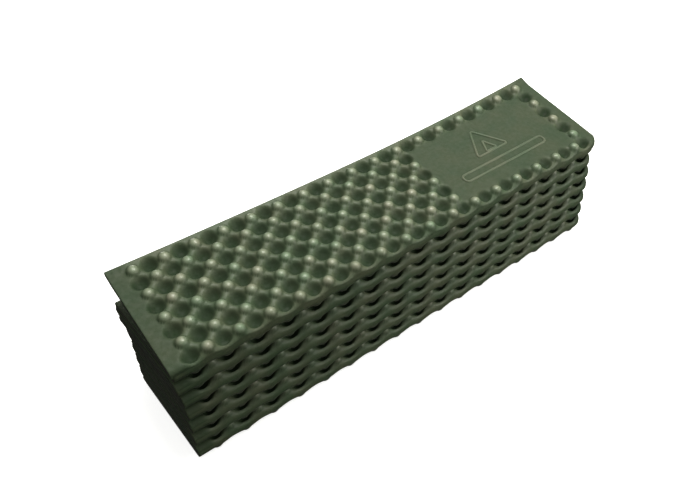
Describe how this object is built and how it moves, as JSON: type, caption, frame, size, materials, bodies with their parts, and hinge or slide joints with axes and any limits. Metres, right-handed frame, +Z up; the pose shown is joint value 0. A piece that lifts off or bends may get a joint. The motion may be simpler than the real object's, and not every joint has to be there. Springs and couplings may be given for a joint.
{
  "type": "foam sleeping pad",
  "caption": "Closed-cell foam sleeping pad with an egg-crate surface that folds like an accordion into a compact stack and opens out flat as a full-length camping mat",
  "frame": {"origin": "centre of the folded stack's footprint, on the ground", "axes": "+X runs along the folds to the end with the smooth field, +Y from the front folds to the back folds, and +Z up through the stack"},
  "size_m": [0.56, 0.1301, 0.1664],
  "materials": {
    "foam": "satin closed-cell foam",
    "pressed_foam": "satin foam, pressed thin"
  },
  "bodies": {
    "layer_01": {"panel_01": "foam", "fold_01": "pressed_foam"},
    "layer_02": {"panel_02": "foam", "fold_02": "pressed_foam"},
    "layer_03": {"panel_03": "foam", "fold_03": "pressed_foam"},
    "layer_04": {"panel_04": "foam", "fold_04": "pressed_foam"},
    "layer_05": {"panel_05": "foam", "fold_05": "pressed_foam"},
    "layer_06": {"panel_06": "foam", "fold_06": "pressed_foam"},
    "layer_07": {"panel_07": "foam", "fold_07": "pressed_foam"},
    "layer_08": {"panel_08": "foam", "fold_08": "pressed_foam"},
    "layer_09": {"panel_09": "foam", "fold_09": "pressed_foam"},
    "layer_10": {"panel_10": "foam", "fold_10": "pressed_foam"},
    "layer_11": {"panel_11": "foam", "fold_11": "pressed_foam"},
    "layer_12": {"panel_12": "foam", "fold_12": "pressed_foam"},
    "layer_13": {"panel_13": "foam", "fold_13": "pressed_foam"},
    "layer_14": {"panel_14": "foam"}
  },
  "joints": [
    {"name": "fold_01_hinge", "type": "hinge", "parent": "layer_01", "child": "layer_02", "pos_m": [0, -0.065, 0.01247], "axis": [1, 0, 0], "range_deg": [0, 180], "deforming": ["fold_01"]},
    {"name": "fold_02_hinge", "type": "hinge", "parent": "layer_02", "child": "layer_03", "pos_m": [0, 0.065, 0.02162], "axis": [-1, 0, 0], "range_deg": [0, 180], "deforming": ["fold_02"]},
    {"name": "fold_03_hinge", "type": "hinge", "parent": "layer_03", "child": "layer_04", "pos_m": [0, -0.065, 0.03078], "axis": [1, 0, 0], "range_deg": [0, 180], "deforming": ["fold_03"]},
    {"name": "fold_04_hinge", "type": "hinge", "parent": "layer_04", "child": "layer_05", "pos_m": [0, 0.065, 0.03993], "axis": [-1, 0, 0], "range_deg": [0, 180], "deforming": ["fold_04"]},
    {"name": "fold_05_hinge", "type": "hinge", "parent": "layer_05", "child": "layer_06", "pos_m": [0, -0.065, 0.04908], "axis": [1, 0, 0], "range_deg": [0, 180], "deforming": ["fold_05"]},
    {"name": "fold_06_hinge", "type": "hinge", "parent": "layer_06", "child": "layer_07", "pos_m": [0, 0.065, 0.05822], "axis": [-1, 0, 0], "range_deg": [0, 180], "deforming": ["fold_06"]},
    {"name": "fold_07_hinge", "type": "hinge", "parent": "layer_07", "child": "layer_08", "pos_m": [0, -0.065, 0.06738], "axis": [1, 0, 0], "range_deg": [0, 180], "deforming": ["fold_07"]},
    {"name": "fold_08_hinge", "type": "hinge", "parent": "layer_08", "child": "layer_09", "pos_m": [0, 0.065, 0.07652], "axis": [-1, 0, 0], "range_deg": [0, 180], "deforming": ["fold_08"]},
    {"name": "fold_09_hinge", "type": "hinge", "parent": "layer_09", "child": "layer_10", "pos_m": [0, -0.065, 0.08568], "axis": [1, 0, 0], "range_deg": [0, 180], "deforming": ["fold_09"]},
    {"name": "fold_10_hinge", "type": "hinge", "parent": "layer_10", "child": "layer_11", "pos_m": [0, 0.065, 0.09483], "axis": [-1, 0, 0], "range_deg": [0, 180], "deforming": ["fold_10"]},
    {"name": "fold_11_hinge", "type": "hinge", "parent": "layer_11", "child": "layer_12", "pos_m": [0, -0.065, 0.10397], "axis": [1, 0, 0], "range_deg": [0, 180], "deforming": ["fold_11"]},
    {"name": "fold_12_hinge", "type": "hinge", "parent": "layer_12", "child": "layer_13", "pos_m": [0, 0.065, 0.11313], "axis": [-1, 0, 0], "range_deg": [0, 180], "deforming": ["fold_12"]},
    {"name": "fold_13_hinge", "type": "hinge", "parent": "layer_13", "child": "layer_14", "pos_m": [0, -0.065, 0.12227], "axis": [1, 0, 0], "range_deg": [-9.6, 164.4], "stiffness_Nm_per_rad": 0.05, "springref_deg": 22.92, "deforming": ["fold_13"]}
  ]
}
